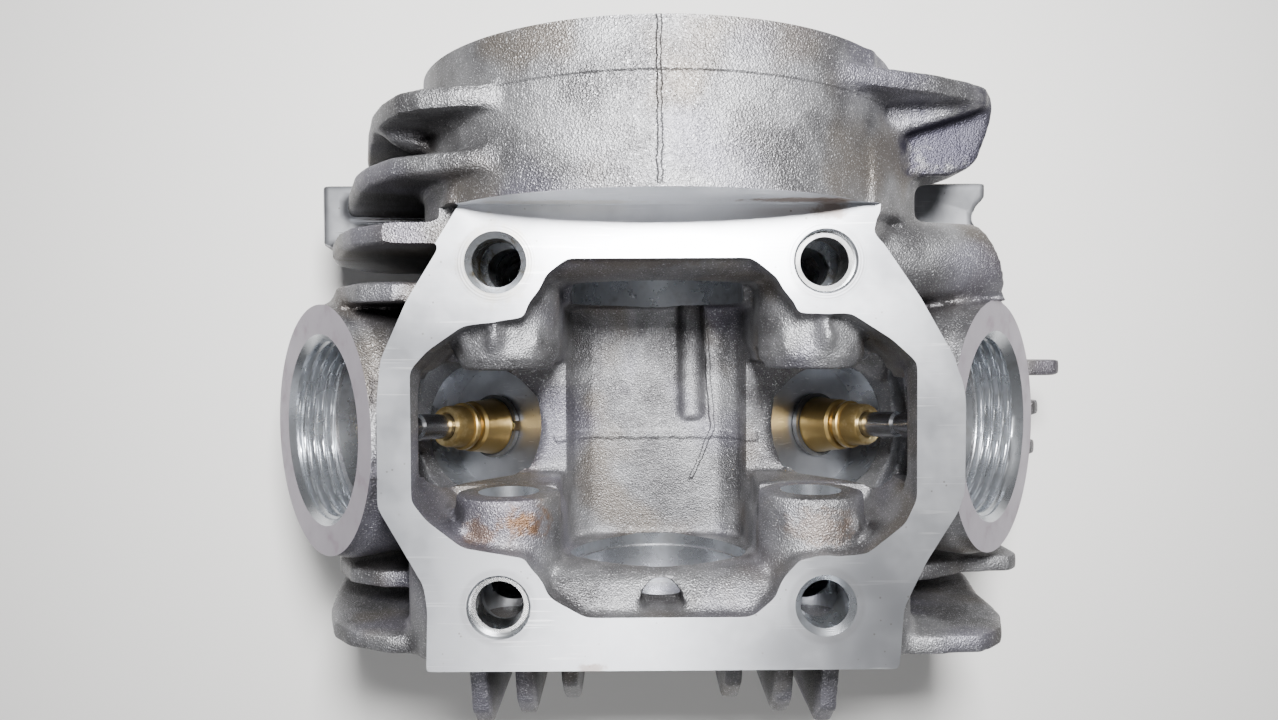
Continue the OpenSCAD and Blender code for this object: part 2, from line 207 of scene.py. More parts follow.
def lump(name: str, centre: tuple, radii: tuple, tilt: float = 0.0,
         dents: float = 0.0, seed: int = 1) -> bpy.types.Object:
    """A rounded lump: an ellipsoid whose radius wanders a little.

    A point is centre + radii * direction(u, v) * (1 + dents * wave(u, v)), with u from pole to
    pole and v once round. The poles are single points.

    Args:
        name: object name.
        centre: middle, in millimetres.
        radii: half sizes along X, Y and Z.
        tilt: turn about Z, in degrees.
        dents: how uneven it is, as a share of the radius.
        seed: phase of the unevenness.

    Returns:
        The closed lump.
    """
    rows, columns = 14, 28
    u = np.linspace(0, np.pi, rows)[1:-1, None]
    v = (np.arange(columns) * 2 * np.pi / columns)[None]
    wave = np.sin(3 * v + seed) * np.sin(2 * u) + 0.6 * np.cos(5 * v - 2 * seed) * np.sin(3 * u)
    swell = 1 + dents * wave
    grid = np.stack([np.sin(u) * np.cos(v) * swell, np.sin(u) * np.sin(v) * swell,
                     np.cos(u) * swell * np.ones_like(v)], axis=-1).reshape(-1, 3)
    points = np.concatenate([grid, [[0, 0, 1], [0, 0, -1]]]) * np.asarray(radii, float)
    c, s = math.cos(math.radians(tilt)), math.sin(math.radians(tilt))
    points = points @ np.array([[c, s, 0], [-s, c, 0], [0, 0, 1]]) + np.asarray(centre, float)
    faces = [f[::-1] for f in grid_faces(rows - 2, columns)]
    top, bottom, last = len(grid), len(grid) + 1, (rows - 3) * columns
    faces += [[top, j, (j + 1) % columns] for j in range(columns)]
    faces += [[bottom, last + (j + 1) % columns, last + j] for j in range(columns)]
    return mesh_object(name, points, faces)


def applied(obj: bpy.types.Object) -> bpy.types.Object:
    """Bakes an object's modifiers into its mesh and returns it."""
    graph = bpy.context.evaluated_depsgraph_get()
    mesh = bpy.data.meshes.new_from_object(obj.evaluated_get(graph))
    old = obj.data
    obj.modifiers.clear()
    obj.data = mesh
    if old.users == 0:
        bpy.data.meshes.remove(old)
    return obj


def joined(name: str, objects: list) -> bpy.types.Object:
    """Puts several objects' meshes into one object without merging their points."""
    bm = bmesh.new()
    for obj in objects:
        bm.from_mesh(obj.data)
    mesh = bpy.data.meshes.new(name)
    bm.to_mesh(mesh)
    bm.free()
    out = bpy.data.objects.new(name, mesh)
    bpy.context.scene.collection.objects.link(out)
    for obj in objects:
        bpy.data.objects.remove(obj)
    return out


def cut(obj: bpy.types.Object, tool: bpy.types.Object) -> None:
    """Takes a closed tool away from an object and removes the tool."""
    before = len(obj.data.polygons)
    for solver in ("MANIFOLD", "EXACT"):
        modifier = obj.modifiers.new("cut", "BOOLEAN")
        modifier.operation = "DIFFERENCE"
        modifier.solver = solver
        modifier.object = tool
        graph = bpy.context.evaluated_depsgraph_get()
        count = len(obj.evaluated_get(graph).data.polygons)
        if count > before * 0.5:
            applied(obj)
            break
        obj.modifiers.clear()
        log.warning("%s: the %s solver failed on %s", obj.name, solver, tool.name)
    bpy.data.objects.remove(tool)


# ---------------------------------------------------------------------------
# Shader helpers
# ---------------------------------------------------------------------------


class Shader:
    """Short calls for building one node tree."""

    def __init__(self, tree: bpy.types.NodeTree) -> None:
        """Keeps the tree that nodes are added to."""
        self.tree = tree

    def node(self, kind: str, settings: dict | None = None, **inputs: object) -> bpy.types.Node:
        """Adds a node.

        Args:
            kind: node type without the ShaderNode prefix.
            settings: attributes of the node.
            **inputs: input values or sockets by name, with _ for a space, or in0, in1 by number.

        Returns:
            The node.
        """
        made = self.tree.nodes.new("ShaderNode" + kind)
        for key, value in (settings or {}).items():
            setattr(made, key, value)
        for key, value in inputs.items():
            number = key[2:] if key.startswith("in") and key[2:].isdigit() else None
            socket = made.inputs[int(number)] if number else made.inputs[key.replace("_", " ")]
            self.feed(socket, value)
        return made

    def feed(self, socket: bpy.types.NodeSocket, value: object) -> None:
        """Sets a socket to a value, or links another socket into it."""
        if isinstance(value, bpy.types.NodeSocket):
            self.tree.links.new(value, socket)
        elif isinstance(value, (tuple, list)) and len(value) == 3 and socket.type == "RGBA":
            socket.default_value = (*value, 1.0)
        else:
            socket.default_value = value

    def maths(self, operation: str, a: object, b: object = 0.0, c: object = 0.0,
              clamp: bool = False) -> bpy.types.NodeSocket:
        """A Math node's result."""
        node = self.node("Math", {"operation": operation, "use_clamp": clamp}, in0=a, in1=b)
        if operation == "MULTIPLY_ADD":
            self.feed(node.inputs[2], c)
        return node.outputs[0]

    def vector(self, operation: str, a: object, b: object) -> bpy.types.Node:
        """A Vector Math node."""
        return self.node("VectorMath", {"operation": operation}, in0=a, in1=b)

    def noise(self, where: object, scale: float, detail: float = 3.0, rough: float = 0.5,
              twist: float = 0.0) -> bpy.types.NodeSocket:
        """The value of a Noise Texture, from 0 to 1."""
        return self.node("TexNoise", None, Vector=where, Scale=scale, Detail=detail,
                         Roughness=rough, Distortion=twist).outputs["Fac"]

    def ramp(self, value: object, low: float, high: float, out_low: float = 0.0,
             out_high: float = 1.0) -> bpy.types.NodeSocket:
        """A smooth step from out_low to out_high as the value goes from low to high."""
        node = self.node("MapRange", {"interpolation_type": "SMOOTHSTEP", "clamp": True},
                         Value=value)
        for key, number in (("From Min", low), ("From Max", high), ("To Min", out_low),
                            ("To Max", out_high)):
            node.inputs[key].default_value = number
        return node.outputs["Result"]

    def mix(self, mask: object, first: object, second: object) -> bpy.types.NodeSocket:
        """A colour that goes from the first to the second as the mask goes from 0 to 1."""
        node = self.node("Mix", {"data_type": "RGBA", "clamp_factor": True})
        self.feed(node.inputs[0], mask)
        self.feed(node.inputs[6], first)
        self.feed(node.inputs[7], second)
        return node.outputs[2]

    def bump(self, height: object, strength: float, distance_mm: float,
             normal: object | None = None) -> bpy.types.NodeSocket:
        """A Bump node's normal."""
        node = self.node("Bump", None, Height=height, Strength=strength,
                         Distance=distance_mm * MM)
        if normal is not None:
            self.feed(node.inputs["Normal"], normal)
        return node.outputs["Normal"]

    def place_mm(self) -> bpy.types.NodeSocket:
        """Object coordinates in millimetres."""
        coord = self.node("TexCoord").outputs["Object"]
        return self.vector("MULTIPLY", coord, (1000.0, 1000.0, 1000.0)).outputs[0]


def new_group(name: str, inputs: list,
              outputs: list) -> tuple[bpy.types.NodeTree, Shader, object, object]:
    """Makes an empty shader node group.

    Args:
        name: group name.
        inputs: (name, kind, default) triples, kind being Float, Vector or Color.
        outputs: (name, kind) pairs.

    Returns:
        The tree, its Shader, and the group's input and output nodes.
    """
    tree = bpy.data.node_groups.new(name, "ShaderNodeTree")
    for label, kind, default in inputs:
        socket = tree.interface.new_socket(label, in_out="INPUT", socket_type="NodeSocket" + kind)
        socket.default_value = default
    for label, kind in outputs:
        tree.interface.new_socket(label, in_out="OUTPUT", socket_type="NodeSocket" + kind)
    return tree, Shader(tree), tree.nodes.new("NodeGroupInput"), tree.nodes.new("NodeGroupOutput")


class Effects:
    """The node groups that several finishes share."""

    def __init__(self) -> None:
        """Builds each group once."""
        self.grain = self._grain()
        self.stain_and_shade_patch = self._stain_and_shade_patch()
        self.scratches = self._scratches()
        self.ring_marks = self._ring_marks()

    def _grain(self) -> bpy.types.NodeTree:
        """Sand grain: fine and coarse noise summed, with a sparkle mask from its peaks."""
        tree, sh, gin, gout = new_group(
            "sand_grain",
            [("Place", "Vector", (0, 0, 0)), ("Fine scale", "Float", 2.2),
             ("Coarse scale", "Float", 0.35)],
            [("Height", "Float"), ("Sparkle", "Float"), ("Blotch", "Float")])
        place = gin.outputs["Place"]
        fine = sh.noise(place, 1.0, 2.0, 0.6)
        sh.feed(fine.node.inputs["Scale"], gin.outputs["Fine scale"])
        coarse = sh.noise(place, 1.0, 4.0, 0.55)
        sh.feed(coarse.node.inputs["Scale"], gin.outputs["Coarse scale"])
        cells = sh.node("TexVoronoi", {"feature": "F1"}, Vector=place, Randomness=1.0)
        sh.feed(cells.inputs["Scale"], gin.outputs["Fine scale"])
        height = sh.maths("MULTIPLY_ADD", fine, 0.75, sh.maths("MULTIPLY", coarse, 0.5))
        height = sh.maths("MULTIPLY_ADD", cells.outputs["Distance"], -0.35, height)
        sh.feed(gout.inputs["Height"], height)
        sh.feed(gout.inputs["Sparkle"], sh.ramp(fine, 0.58, 0.72))
        sh.feed(gout.inputs["Blotch"], sh.noise(place, 0.07, 3.0, 0.6))
        return tree

    def _stain_and_shade_patch(self) -> bpy.types.NodeTree:
        """A ragged patch, used for stains and for patches of painted shade: 1 inside an ellipsoid
        and 0 outside, its edge broken up by noise.
        """
        tree, sh, gin, gout = new_group(
            "ragged_stain_and_shade_patch",
            [("Place", "Vector", (0, 0, 0)), ("Centre", "Vector", (0, 0, 0)),
             ("Size", "Vector", (5, 5, 5)), ("Ragged", "Float", 0.6)],
            [("Mask", "Float")])
        away = sh.vector("SUBTRACT", gin.outputs["Place"], gin.outputs["Centre"]).outputs[0]
        scaled = sh.vector("DIVIDE", away, gin.outputs["Size"]).outputs[0]
        far = sh.node("VectorMath", {"operation": "LENGTH"}, in0=scaled).outputs["Value"]
        wander = sh.noise(gin.outputs["Place"], 0.45, 4.0, 0.65)
        shift = sh.maths("MULTIPLY", sh.maths("SUBTRACT", wander, 0.5),
                         sh.maths("MULTIPLY", gin.outputs["Ragged"], 3.0))
        sh.feed(gout.inputs["Mask"], sh.ramp(sh.maths("ADD", far, shift), 1.15, 0.55))
        return tree

    def _scratches(self) -> bpy.types.NodeTree:
        """Fine crossing scratches from stretched noise, and scattered pits."""
        tree, sh, gin, gout = new_group(
            "handling_scratches",
            [("Place", "Vector", (0, 0, 0)), ("Amount", "Float", 1.0)],
            [("Height", "Float"), ("Scratch", "Float"), ("Pit", "Float")])
        place = gin.outputs["Place"]
        total = None
        for angle, seed in ((0.35, 3.0), (1.25, 11.0), (2.3, 23.0)):
            turned = sh.node("Mapping", None, Vector=place)
            turned.inputs["Rotation"].default_value = (0, 0, angle)
            turned.inputs["Location"].default_value = (seed, seed * 0.7, 0)
            turned.inputs["Scale"].default_value = (0.045, 1.6, 0.4)
            line = sh.ramp(sh.noise(turned.outputs[0], 1.0, 2.0, 0.4, 0.25), 0.685, 0.72)
            total = line if total is None else sh.maths("MAXIMUM", total, line)
        patch = sh.ramp(sh.noise(place, 0.06, 2.0), 0.42, 0.6)
        scratch = sh.maths("MULTIPLY", sh.maths("MULTIPLY", total, patch), gin.outputs["Amount"])
        pits = sh.node("TexVoronoi", {"feature": "F1"}, Vector=place, Scale=0.55, Randomness=1.0)
        pit = sh.maths("MULTIPLY", sh.ramp(pits.outputs["Distance"], 0.13, 0.08),
                       sh.ramp(sh.noise(place, 0.11, 2.0), 0.52, 0.62))
        sh.feed(gout.inputs["Scratch"], scratch)
        sh.feed(gout.inputs["Pit"], pit)
        sh.feed(gout.inputs["Height"], sh.maths("ADD", scratch, pit))
        return tree

    def _ring_marks(self) -> bpy.types.NodeTree:
        """Tool rings round an axis: a wave of the distance from the axis, and one along it."""
        tree, sh, gin, gout = new_group(
            "tool_rings",
            [("Place", "Vector", (0, 0, 0)), ("Centre", "Vector", (0, 0, 0)),
             ("Axis", "Vector", (0, 0, 1)), ("Pitch", "Float", 0.35)],
            [("Radial wave", "Float"), ("Axial wave", "Float"), ("Distance", "Float")])
        away = sh.vector("SUBTRACT", gin.outputs["Place"], gin.outputs["Centre"]).outputs[0]
        along = sh.vector("DOT_PRODUCT", away, gin.outputs["Axis"]).outputs["Value"]
        cross = sh.vector("CROSS_PRODUCT", away, gin.outputs["Axis"]).outputs[0]
        radius = sh.node("VectorMath", {"operation": "LENGTH"}, in0=cross).outputs["Value"]
        for name, value in (("Radial wave", radius), ("Axial wave", along)):
            turns = sh.maths("DIVIDE", value, gin.outputs["Pitch"])
            jitter = sh.node("TexNoise", {"noise_dimensions": "1D"}, W=turns, Scale=0.9,
                             Detail=2.0).outputs["Fac"]
            wave = sh.maths("SINE", sh.maths("MULTIPLY", turns, 2 * math.pi))
            sh.feed(gout.inputs[name], sh.maths("MULTIPLY_ADD", wave, 0.25, jitter))
        sh.feed(gout.inputs["Distance"], radius)
        return tree


def group_node(sh: Shader, tree: bpy.types.NodeTree, **inputs: object) -> bpy.types.Node:
    """Places a node group in a tree and sets its inputs."""
    node = sh.tree.nodes.new("ShaderNodeGroup")
    node.node_tree = tree
    for key, value in inputs.items():
        sh.feed(node.inputs[key.replace("_", " ")], value)
    return node


def new_material(name: str, metallic: float,
                 roughness: float) -> tuple[bpy.types.Material, Shader, bpy.types.Node]:
    """Makes a material with one Principled shader.

    Args:
        name: material name.
        metallic: its Metallic value.
        roughness: its Roughness value.

    Returns:
        The material, a Shader on its tree, and the Principled node.
    """
    material = bpy.data.materials.new(name)
    material.use_nodes = True
    tree = material.node_tree
    tree.nodes.clear()
    principled = tree.nodes.new("ShaderNodeBsdfPrincipled")
    output = tree.nodes.new("ShaderNodeOutputMaterial")
    tree.links.new(principled.outputs["BSDF"], output.inputs["Surface"])
    principled.inputs["Metallic"].default_value = metallic
    principled.inputs["Roughness"].default_value = roughness
    return material, Shader(tree), principled


StainOrShadePatch = tuple[Triple, Triple, Triple, float]


@dataclass(frozen=True)
class CastFinish:
    """Sand-cast and blasted aluminium, with painted shade darkening its hollows, and with oil stains
    and patches of painted shade.

    Each stain and each patch of painted shade is (centre, half sizes, colour, strength), in
    millimetres.
    """

    name: str = "cast_aluminium_skin"
    high: Triple = (0.26, 0.26, 0.268)
    low: Triple = (0.115, 0.113, 0.117)
    warm: Triple = (0.16, 0.145, 0.132)
    violet: Triple = (0.15, 0.143, 0.19)
    # Colour of the painted shade laid into the casting's hollows.
    hollow: Triple = (0.035, 0.032, 0.034)
    stains_and_painted_shade: tuple[StainOrShadePatch, ...] = ()

    def make(self, fx: Effects) -> bpy.types.Material:
        """Builds the material."""
        material, sh, out = new_material(self.name, 0.85, 0.5)
        place = sh.place_mm()
        grain = group_node(sh, fx.grain, Place=place, Fine_scale=2.9, Coarse_scale=0.6)
        blotch = grain.outputs["Blotch"]
        colour = sh.mix(sh.ramp(blotch, 0.35, 0.65), self.low, self.high)
        colour = sh.mix(sh.ramp(sh.noise(place, 0.05, 2.0), 0.5, 0.68), colour, self.warm)
        violet = sh.ramp(sh.noise(place, 0.035, 2.0, 0.5, 0.4), 0.48, 0.66, 0.0, 0.55)
        colour = sh.mix(violet, colour, self.violet)
        colour = sh.mix(sh.maths("MULTIPLY", grain.outputs["Sparkle"], 0.6), colour,
                        (0.8, 0.8, 0.82))
        # Painted shade: where short rays from a point hit the casting again, the colour darkens
        # towards near-black.
        painted_shade_amount = sh.node("Attribute", {"attribute_name": "hollow"}).outputs["Fac"]
        colour = sh.mix(sh.ramp(painted_shade_amount, 0.08, 0.75, 0.0, 0.9), colour, self.hollow)
        rough = sh.maths("MULTIPLY_ADD", blotch, 0.25, 0.36)
        for centre, size, tint, strength in self.stains_and_painted_shade:
            mark = group_node(sh, fx.stain_and_shade_patch, Place=place, Centre=centre, Size=size)
            mask = sh.maths("MULTIPLY", mark.outputs["Mask"], strength)
            colour = sh.mix(mask, colour, tint)
        sh.feed(out.inputs["Base Color"], colour)
        sh.feed(out.inputs["Roughness"], rough)
        lines = self.casting_lines(sh, place)
        height = sh.maths("MULTIPLY_ADD", lines, 1.3, grain.outputs["Height"])
        sh.feed(out.inputs["Normal"], sh.bump(height, 1.0, 0.26))
        return material


    def casting_lines(self, sh: Shader, place: bpy.types.NodeSocket) -> bpy.types.NodeSocket:
        """The height of parting lines: a seam along the drum, one across the bay, and a ridge.

        Each line is a narrow smooth step of the distance from a wavering plane, kept to a box.
        """
        split = sh.node("SeparateXYZ", None, Vector=place)
        x, y, z = (split.outputs[i] for i in range(3))
        waver = sh.maths("MULTIPLY", sh.maths("SUBTRACT", sh.noise(place, 0.35, 4.0, 0.7), 0.5), 1.3)

        def seam(value: object, at: float, half: float, *limits: tuple) -> object:
            """A ridge where the wavering value is near a number, inside limits of other values."""
            off = sh.maths("ABSOLUTE", sh.maths("ADD", sh.maths("SUBTRACT", value, at), waver))
            line = sh.ramp(off, half, half * 0.35)
            for other, low, high in limits:
                line = sh.maths("MULTIPLY", line, sh.ramp(other, low, low + 1.0))
                line = sh.maths("MULTIPLY", line, sh.ramp(other, high, high - 1.0))
            return line

        drum = seam(x, -0.7, 0.55, (y, 42.0, 70.0), (z, 90.0, 110.0))
        rim = sh.maths("MULTIPLY", sh.ramp(y, 60.0, 60.6), sh.ramp(z, 80.0, 82.0))
        bay = sh.maths("MULTIPLY", seam(y, -5.2, 1.5, (x, -24.0, 24.0), (z, 30.0, 46.0)), 0.8)
        lean = sh.maths("MULTIPLY_ADD", y, 0.07, x)
        ridge = seam(lean, 13.4, 0.8, (y, -5.0, 27.0), (z, 30.0, 60.0))
        turned = sh.maths("MULTIPLY_ADD", y, -0.44, x)
        lower = seam(turned, 15.5, 0.7, (y, -16.5, -4.0), (z, 30.0, 46.0))
        total = sh.maths("ADD", sh.maths("ADD", drum, sh.maths("MULTIPLY", rim, 0.9)), bay)
        return sh.maths("ADD", total, sh.maths("ADD", ridge, lower))


@dataclass(frozen=True)
class MilledFinish:
    """Face-milled aluminium with fine scratches, pits, ring marks round holes and stains."""

    name: str = "milled_aluminium"
    bright: Triple = (0.66, 0.67, 0.70)
    dull: Triple = (0.50, 0.51, 0.54)
    rings: tuple[Triple, ...] = ()
    stains_and_painted_shade: tuple[StainOrShadePatch, ...] = ()

    def make(self, fx: Effects) -> bpy.types.Material:
        """Builds the material."""
        material, sh, out = new_material(self.name, 1.0, 0.34)
        place = sh.place_mm()
        marks = group_node(sh, fx.scratches, Place=place, Amount=1.0)
        cloud = sh.noise(place, 0.045, 4.0, 0.6)
        colour = sh.mix(sh.ramp(cloud, 0.35, 0.62), self.dull, self.bright)
        ring_height, ring_mask = 0.0, 0.0
        for centre in self.rings:
            ring = group_node(sh, fx.ring_marks, Place=place, Centre=centre, Pitch=0.55)
            near = sh.ramp(ring.outputs["Distance"], 7.6, 6.6)
            ring_mask = sh.maths("MAXIMUM", ring_mask, near)
            ring_height = sh.maths("MAXIMUM", ring_height,
                                   sh.maths("MULTIPLY", ring.outputs["Radial wave"], near))
        colour = sh.mix(sh.maths("MULTIPLY", ring_mask, 0.5), colour, (0.4, 0.4, 0.42))
        colour = sh.mix(sh.maths("MULTIPLY", marks.outputs["Scratch"], 0.55), colour,
                        (0.92, 0.92, 0.94))
        colour = sh.mix(sh.maths("MULTIPLY", marks.outputs["Pit"], 0.75), colour,
                        (0.3, 0.29, 0.28))
        for centre, size, tint, strength in self.stains_and_painted_shade:
            mark = group_node(sh, fx.stain_and_shade_patch, Place=place, Centre=centre, Size=size)
            colour = sh.mix(sh.maths("MULTIPLY", mark.outputs["Mask"], strength), colour, tint)
        sweep = sh.node("Mapping", None, Vector=place)
        sweep.inputs["Scale"].default_value = (0.03, 3.2, 1.0)
        lay = sh.noise(sweep.outputs[0], 1.0, 3.0, 0.6)
        sh.feed(out.inputs["Base Color"], colour)
        sh.feed(out.inputs["Roughness"], sh.maths("MULTIPLY_ADD", cloud, 0.2, 0.25))
        first = sh.bump(sh.maths("MULTIPLY_ADD", lay, 0.5, ring_height), 0.3, 0.03)
        sh.feed(out.inputs["Normal"],
                sh.bump(marks.outputs["Height"], -0.5, 0.05, first))
        return material


@dataclass(frozen=True)
class BoredFinish:
    """Bored or turned metal: fine tool rings about an axis, with a tint, stains and patches of
    painted shade.
    """

    name: str
    colour: Triple
    centre: Triple = (0.0, 0.0, 0.0)
    axis: Triple = (0.0, 0.0, 1.0)
    metallic: float = 0.95
    roughness: float = 0.26
    pitch: float = 0.3
    depth: float = 0.02
    dark: Triple = (0.2, 0.19, 0.18)
    stains_and_painted_shade: tuple[StainOrShadePatch, ...] = ()

    def make(self, fx: Effects) -> bpy.types.Material:
        """Builds the material."""
        material, sh, out = new_material(self.name, self.metallic, self.roughness)
        place = sh.place_mm()
        rings = group_node(sh, fx.ring_marks, Place=place, Centre=self.centre,
                           Axis=tuple(unit(self.axis)), Pitch=self.pitch)
        wave = sh.maths("ADD", rings.outputs["Axial wave"], rings.outputs["Radial wave"])
        cloud = sh.noise(place, 0.16, 3.0, 0.6)
        colour = sh.mix(sh.ramp(cloud, 0.52, 0.8, 0.0, 0.55), self.colour, self.dark)
        for centre, size, tint, strength in self.stains_and_painted_shade:
            mark = group_node(sh, fx.stain_and_shade_patch, Place=place, Centre=centre, Size=size)
            colour = sh.mix(sh.maths("MULTIPLY", mark.outputs["Mask"], strength), colour, tint)
        sh.feed(out.inputs["Base Color"], colour)
        sh.feed(out.inputs["Roughness"],
                sh.maths("MULTIPLY_ADD", cloud, 0.2, self.roughness - 0.08))
        sh.feed(out.inputs["Normal"], sh.bump(wave, 0.35, self.depth))
        return material


# ---------------------------------------------------------------------------
# The casting
# ---------------------------------------------------------------------------


@dataclass(frozen=True)
class Bore:
    """A machined hole: what fills it before the skin is rounded, and what cuts it after.

    The profiles are (distance along the axis, radius) pairs in millimetres.
    """

    name: str
    origin: Triple
    axis: Triple
    plug: tuple[tuple[float, float], ...]
    tool: tuple[tuple[float, float], ...]
    surface: Surface = Surface.BORED


@dataclass
class CastHead:
    """The head casting: rounded cast skin with crisp machined faces and holes."""

    head_h: float = 86.0
    stud_x: float = 30.0
    stud_y: float = 31.5
    cam_z: float = 56.0
    rocker_z: float = 72.0
    mill_y: float = 41.8
    rim_y: float = 69.0
    flange_x: float = 69.0
    valve_lean: float = 34.0
    valve_twist: float = 5.5
    valve_y: float = -6.7
    dome_z: float = -18.2346
    seat_dist: float = 33.8346
    pocket_dist: float = 67.8346
    port_lean: float = 50.0
    port_place: Triple = (70.2, -1.0, 64.0)
    raise_mm: float = 2.2
    voxel_mm: float = 0.8
    smooth_rounds: int = 7
    keep_ratio: float = 0.28
    bores: list = field(default_factory=list)
    kinds: np.ndarray | None = None

    def valve_line(self, side: int) -> tuple[np.ndarray, np.ndarray]:
        """The point at the chamber's sphere centre and the direction of a valve axis."""
        lean, twist = math.radians(self.valve_lean), math.radians(self.valve_twist)
        turn = np.array([[1, 0, 0], [0, math.cos(twist), math.sin(twist)],
                         [0, -math.sin(twist), math.cos(twist)]])
        start = turn @ np.array([0, 0, self.dome_z]) + np.array([0, self.valve_y, 0])
        return start, turn @ np.array([side * math.sin(lean), 0, math.cos(lean)])

    def port_line(self, side: int) -> tuple[np.ndarray, np.ndarray]:
        """The middle of an adjuster port's rim and the direction out of it."""
        lean = math.radians(self.port_lean)
        x, y, z = self.port_place
        return np.array([side * x, y, z]), np.array([side * math.sin(lean), 0, math.cos(lean)])

    def list_bores(self) -> list[Bore]:
        """All machined round holes of the casting."""
        up, rear = (0, 0, 1), (0, 1, 0)
        top = self.head_h + self.raise_mm
        found = []
        for sx in (-1, 1):
            for sy in (-1, 1):
                place = (sx * self.stud_x, sy * self.stud_y, 0)
                sleeved = sx * sy > 0
                tool = [(-5, 4.5), (self.head_h - 1, 4.5), (self.head_h + 0.2, 5.9),
                        (self.head_h + 4, 5.9)]
                if sleeved:
                    tool = [(-5, 4.5), (78.5, 4.5), (78.51, 5.5), (self.head_h - 0.4, 5.5),
                            (self.head_h + 0.2, 6.1), (self.head_h + 4, 6.1)]
                found.append(Bore("stud_hole", place, up, ((-2.2, 6.4), (top, 6.4)), tuple(tool)))
            x = sx * self.stud_x
            found.append(Bore("rocker_bore_plain", (x, 0, self.rocker_z), rear,
                              ((-37.4, 6.4), (-12.6, 6.4)), ((-37.5, 6.0), (-11, 6.0))))
            found.append(Bore("rocker_bore_drum", (x, 0, self.rocker_z), rear,
                              ((11.6, 6.4), (43, 6.4)), ((9, 6.0), (44, 6.0))))
            start, axis = self.valve_line(sx)
            head = 13.5 if sx < 0 else 11.5
            found.append(Bore("seat_pocket", tuple(start), tuple(axis),
                              ((self.seat_dist, head + 2.8), (self.seat_dist + 6.6, head + 2.8)),
                              ((self.seat_dist - 8, head + 2), (self.seat_dist + 6, head + 2),
                               (self.seat_dist + 6.01, head - 2.4),
                               (self.seat_dist + 9, head - 2.4))))
            found.append(Bore("spring_seat", tuple(start), tuple(axis),
                              ((self.pocket_dist - 3, 13.9), (self.pocket_dist + 2.5, 13.9)),
                              ((self.pocket_dist, 14.3), (self.pocket_dist + 8, 14.3)),
                              Surface.MILLED))
            found.append(Bore("guide_bore", tuple(start), tuple(axis),
                              ((self.pocket_dist - 20, 6.3), (self.pocket_dist - 2, 6.3)),
                              ((self.pocket_dist - 24, 5.62), (self.pocket_dist + 1, 5.62))))
            rim, out = self.port_line(sx)
            found.append(Bore("adjuster_port", tuple(rim), tuple(out),
                              ((-9.9, 19.2), (-3, 21), (self.raise_mm, 21)), ()))
            found.append(Bore("port_throat", tuple(rim), tuple(out), (),
                              ((-17, 16.4), (-9.9, 16.4))))
            for sy in (-1, 1):
                at = (sx * self.flange_x, sy * (24 if sx < 0 else 23), 17.5)
                out_x = (sx, 0, 0)
                found.append(Bore("flange_screw", at, out_x, ((-13.9, 3.2), (self.raise_mm, 3.2)),
                                  ((-14, 2.5), (3, 2.5))))
            found.append(Bore("tunnel_stud", (sx * 69, 46.5, 0), up,
                              ((-2.2, 3.2), (18, 3.2)), ((-4, 2.5), (18, 2.5))))
        found.append(Bore("bearing_drum_end", (0, 0, self.cam_z), rear,
                          ((29.2, 19.3), (43, 19.3)), ((24, 18.5), (44, 18.5))))
        found.append(Bore("bearing_plain_end", (0, 0, self.cam_z), rear,
                          ((-40.8, 19.3), (-32.6, 19.3)), ((-40.8, 18.5), (-24, 18.5))))
        found.append(Bore("bearing_relief", (0, 0, self.cam_z), rear, (),
                          ((-32, 19.4), (-29, 19.4))))
        found.append(Bore("drum_register", (0, 0, self.cam_z), rear,
                          ((62, 43.6), (self.rim_y + self.raise_mm, 43.6)),
                          ((61, 41), (64, 41), (64.01, 43), (self.rim_y + 3, 43))))
        found.append(Bore("oil_gutter", (8.6, 0, 36), rear, (), ((8, 2.0), (24, 3.0), (30, 3.0)),
                          Surface.CAST))
        plug = math.radians(65)
        found.append(Bore("spark_plug_thread", (-1.5, -12, 8), (0, -math.sin(plug), math.cos(plug)),
                          ((1, 5.2), (17.8, 5.2)), ((-10, 4.5), (19, 4.5))))
        return found

    def bay_undercut(self) -> bpy.types.Object:
        """The room under the joint face beside the valve tips, as one lump on each side."""
        spans = ((-51.4, -38.0), (38.0, 51.4))
        sides = [block("undercut", (x0, -11, 47), (x1, 9.5, 78.6)) for x0, x1 in spans]
        return joined("bay_undercut", sides)

    def lower_half_plug(self, name: str, radius: float, y0: float, y1: float) -> bpy.types.Object:
        """A half-round bar along Y under the camshaft axis, which fills an open half bore."""
        a = np.linspace(np.pi, 2 * np.pi, 40)
        ring = np.stack([radius * np.cos(a), np.full_like(a, y0),
                         self.cam_z - 0.5 + radius * np.sin(a)], axis=-1)
        return swept_solid(name, ring[::-1], np.array([0, y1 - y0, 0]))

